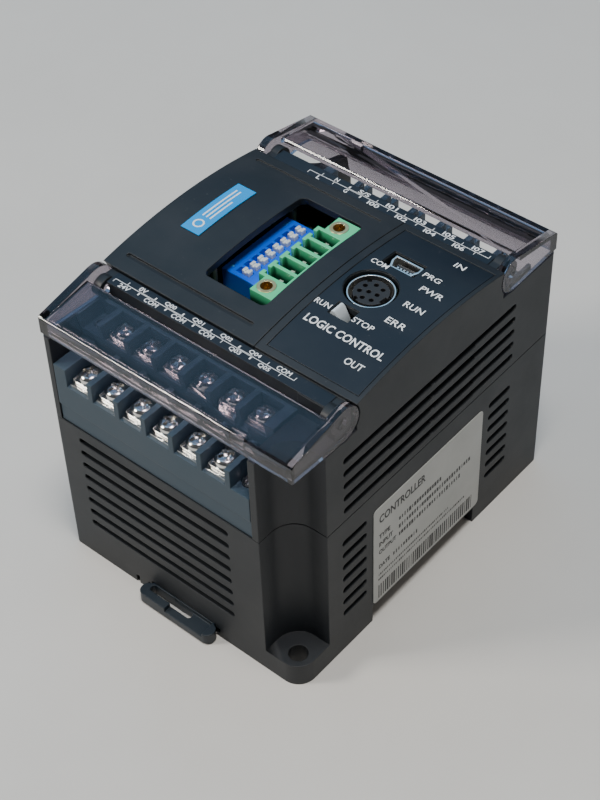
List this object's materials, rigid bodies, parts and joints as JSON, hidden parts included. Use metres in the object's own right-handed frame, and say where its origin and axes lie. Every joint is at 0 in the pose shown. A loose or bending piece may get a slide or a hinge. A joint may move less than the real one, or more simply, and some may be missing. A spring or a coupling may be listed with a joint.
{
  "type": "plc module",
  "caption": "Compact brick controller with screw terminals under hinged smoked covers, arched front with ports, vented housing, mounting ears and a rail clip.",
  "frame": {"origin": "on the back plane, half way between the two mounting holes", "axes": "+Z out of the front face, +X to the controller's right, +Y towards its input terminals, as when it is mounted upright"},
  "size_m": [0.0702, 0.094, 0.0767],
  "materials": {
    "housing_plastic": "fine spark-eroded texture, near-black blue-grey",
    "block_plastic": "satin blue-grey",
    "smoked_clear": "polished, see-through smoked purple-grey",
    "clip_plastic": "satin dark blue-black",
    "front_film": "fine matt film with white print",
    "name_plate": "bright blue printed plate, blank",
    "marking_strip": "black film with white terminal names",
    "rating_label": null,
    "screw_steel": "bright nickel plate",
    "nickel": "nickel plate",
    "port_metal": "tin plate",
    "brass_insert": "turned brass",
    "black_insulator": "moulded black",
    "header_green": "satin green",
    "dip_blue": "satin bright blue",
    "dip_white": "white",
    "lever_grey": "pale grey",
    "circuit_board": "green solder mask",
    "white_nylon": "natural nylon",
    "chip_epoxy": "moulded epoxy",
    "lamp_resin": "clear resin",
    "light_guide": "clear",
    "relay_case": "dark blue moulded case",
    "ferrite": "sintered ferrite",
    "winding_tape": "yellow tape",
    "capacitor_sleeve": "printed sleeve",
    "fuse_glass": "glass tube with plated caps"
  },
  "bodies": {
    "controller": {"lower_housing": "housing_plastic", "upper_housing": "housing_plastic", "expansion_cover": "housing_plastic", "front_film": "front_film", "name_plate": "name_plate", "output_terminal_block": "block_plastic", "input_terminal_block": "block_plastic", "output_contacts": "nickel", "input_contacts": "nickel", "output_washers": "nickel", "input_washers": "nickel", "output_screws": "screw_steel", "input_screws": "screw_steel", "block_screws": "screw_steel", "output_marking_strip": "marking_strip", "input_marking_strip": "marking_strip", "rating_label": "rating_label", "usb_shell": "port_metal", "usb_tongue": "black_insulator", "socket_shell": "port_metal", "socket_insert": "black_insulator", "mode_switch_body": "black_insulator", "dip_switch_body": "dip_blue", "header_body": "header_green", "header_pins": "nickel", "header_inserts": "brass_insert", "expansion_board": "circuit_board", "expansion_posts": "white_nylon", "board_connector": "black_insulator", "logic_board": "circuit_board", "processor": "chip_epoxy", "interface_chips": "chip_epoxy", "status_leds": "lamp_resin", "light_guides": "light_guide", "io_board": "circuit_board", "relays": "relay_case", "optocouplers": "chip_epoxy", "power_board": "circuit_board", "transformer_core": "ferrite", "transformer_winding": "winding_tape", "capacitors": "capacitor_sleeve", "mains_fuse": "fuse_glass", "board_pillars": "brass_insert", "board_screws": "screw_steel", "housing_screws": "screw_steel"},
    "output_cover": {"output_cover": "smoked_clear"},
    "input_cover": {"input_cover": "smoked_clear"},
    "rail_clip": {"rail_clip": "clip_plastic"},
    "mode_lever": {"mode_lever": "lever_grey"},
    "dip_lever_1": {"dip_lever_1": "dip_white"},
    "dip_lever_2": {"dip_lever_2": "dip_white"},
    "dip_lever_3": {"dip_lever_3": "dip_white"},
    "dip_lever_4": {"dip_lever_4": "dip_white"},
    "dip_lever_5": {"dip_lever_5": "dip_white"},
    "dip_lever_6": {"dip_lever_6": "dip_white"},
    "dip_lever_7": {"dip_lever_7": "dip_white"},
    "dip_lever_8": {"dip_lever_8": "dip_white"}
  },
  "joints": [
    {"name": "output_cover_hinge", "type": "hinge", "parent": "controller", "child": "output_cover", "pos_m": [0, -0.0287, 0.0712], "axis": [-1, 0, 0], "range_deg": [0, 88]},
    {"name": "input_cover_hinge", "type": "hinge", "parent": "controller", "child": "input_cover", "pos_m": [0, 0.0287, 0.0712], "axis": [1, 0, 0], "range_deg": [0, 88]},
    {"name": "rail_clip_slide", "type": "slide", "parent": "controller", "child": "rail_clip", "axis": [0, -1, 0], "range_m": [0, 0.005], "stiffness_N_per_m": 300},
    {"name": "mode_lever_slide", "type": "slide", "parent": "controller", "child": "mode_lever", "axis": [1, 0, 0], "range_m": [0, 0.0018]},
    {"name": "dip_slide_1", "type": "slide", "parent": "controller", "child": "dip_lever_1", "axis": [-1, 0, 0], "range_m": [0, 0.0014]},
    {"name": "dip_slide_2", "type": "slide", "parent": "controller", "child": "dip_lever_2", "axis": [-1, 0, 0], "range_m": [0, 0.0014]},
    {"name": "dip_slide_3", "type": "slide", "parent": "controller", "child": "dip_lever_3", "axis": [-1, 0, 0], "range_m": [0, 0.0014]},
    {"name": "dip_slide_4", "type": "slide", "parent": "controller", "child": "dip_lever_4", "axis": [-1, 0, 0], "range_m": [0, 0.0014]},
    {"name": "dip_slide_5", "type": "slide", "parent": "controller", "child": "dip_lever_5", "axis": [-1, 0, 0], "range_m": [0, 0.0014]},
    {"name": "dip_slide_6", "type": "slide", "parent": "controller", "child": "dip_lever_6", "axis": [-1, 0, 0], "range_m": [0, 0.0014]},
    {"name": "dip_slide_7", "type": "slide", "parent": "controller", "child": "dip_lever_7", "axis": [-1, 0, 0], "range_m": [0, 0.0014]},
    {"name": "dip_slide_8", "type": "slide", "parent": "controller", "child": "dip_lever_8", "axis": [-1, 0, 0], "range_m": [0, 0.0014]}
  ]
}
